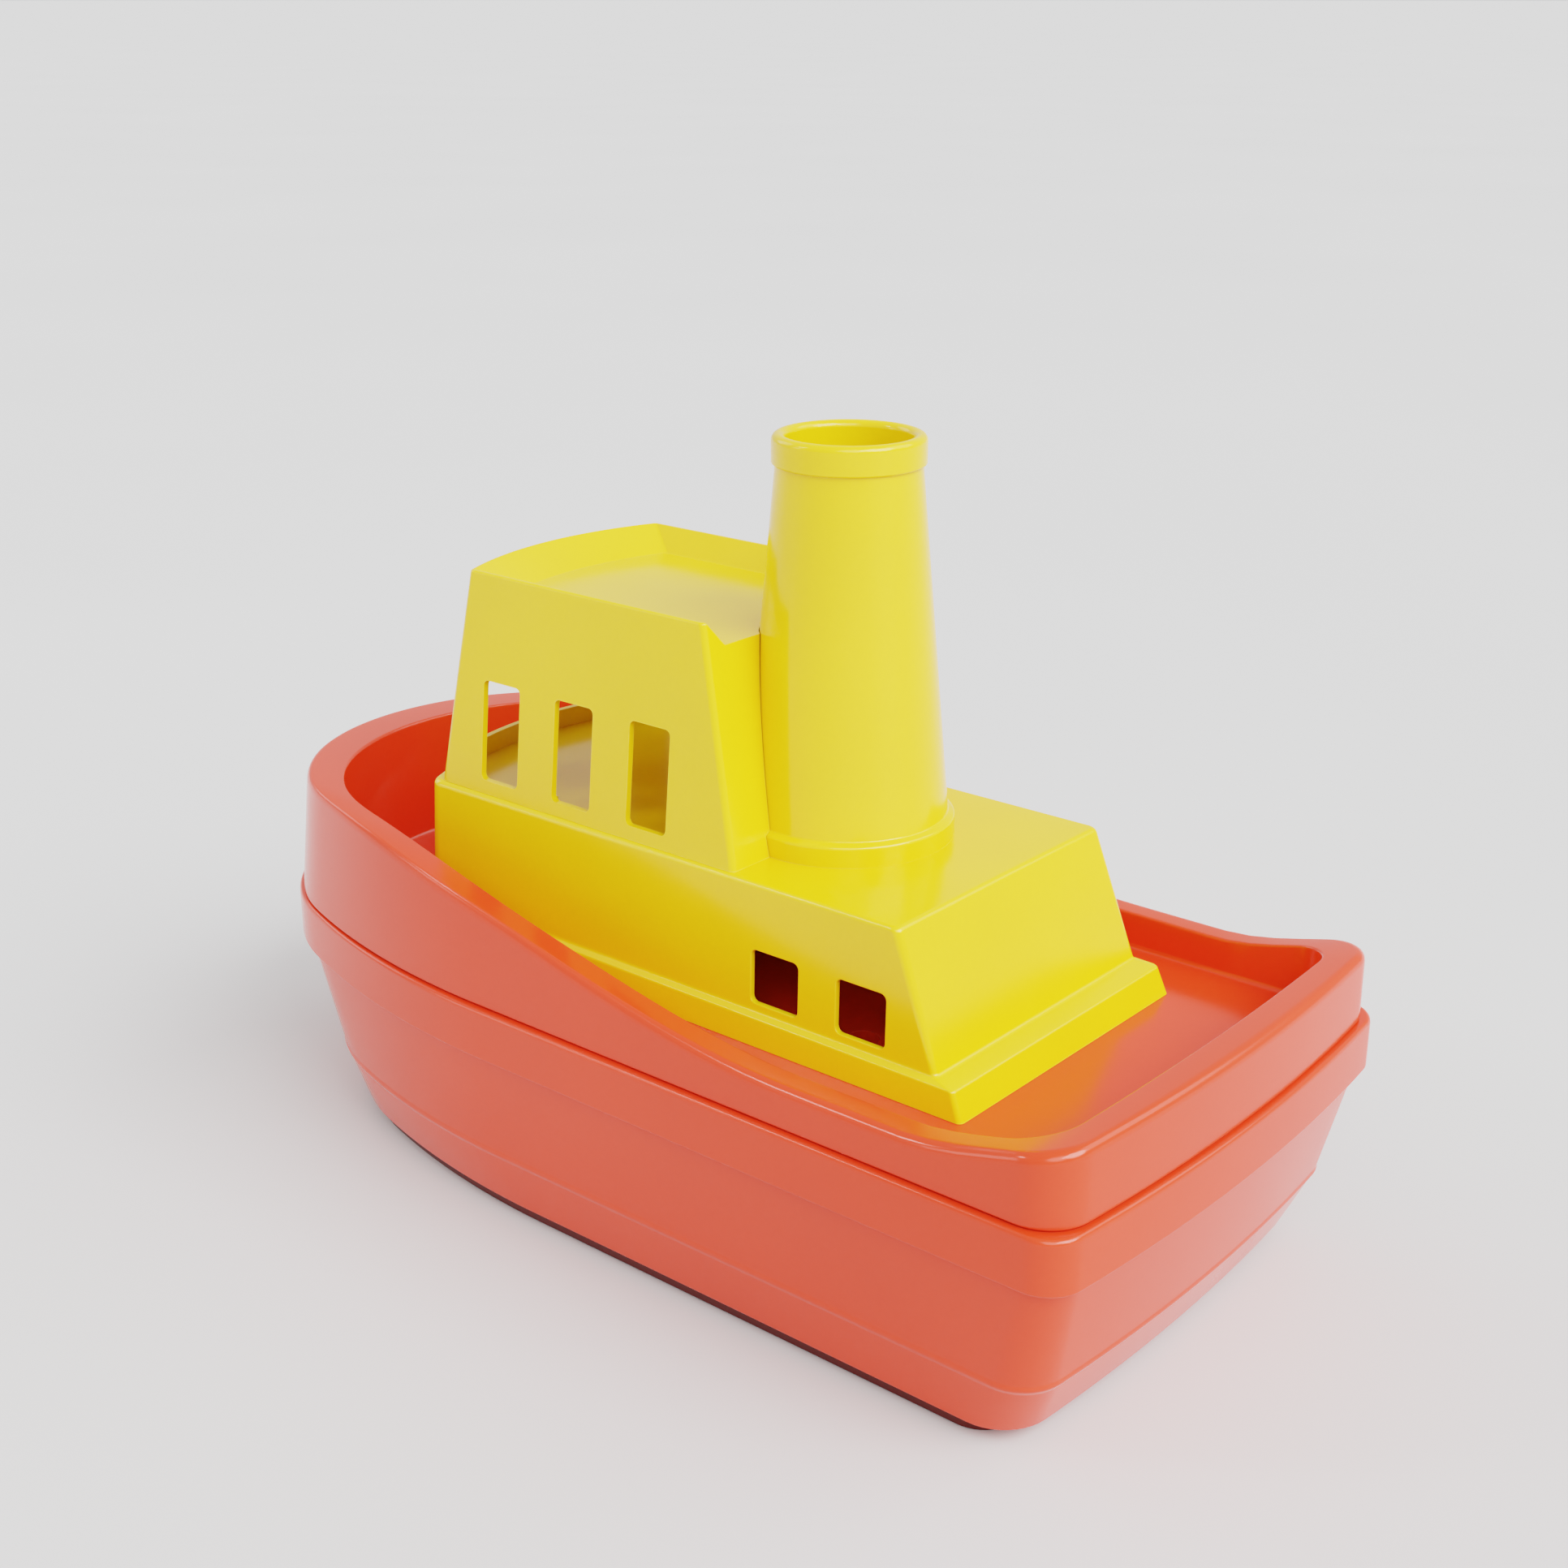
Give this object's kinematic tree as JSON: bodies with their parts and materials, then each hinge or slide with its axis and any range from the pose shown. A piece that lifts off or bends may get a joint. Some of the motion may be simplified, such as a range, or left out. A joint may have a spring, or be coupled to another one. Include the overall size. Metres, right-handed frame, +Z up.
{
  "type": "toy boat",
  "caption": "Toy boat with a raised bow, a rubbing band, a cabin with square windows, a wheelhouse with an open front and a tapered funnel behind it.",
  "frame": {"origin": "on the floor under the middle of the hull", "axes": "+X towards the bow, +Y to port, +Z up"},
  "size_m": [0.2336, 0.1134, 0.1586],
  "materials": {
    "red_plastic": "gloss",
    "yellow_plastic": "gloss",
    "screw_steel": "satin"
  },
  "bodies": {
    "hull": {"hull_shell": "red_plastic", "deck_shell": "red_plastic", "deck_screws": "screw_steel"},
    "superstructure": {"cabin": "yellow_plastic", "wheelhouse": "yellow_plastic", "funnel": "yellow_plastic"}
  },
  "joints": [
    {"name": "cabin_lift", "type": "slide", "parent": "hull", "child": "superstructure", "axis": [0, 0, 1], "range_m": [0, 0.06]}
  ]
}
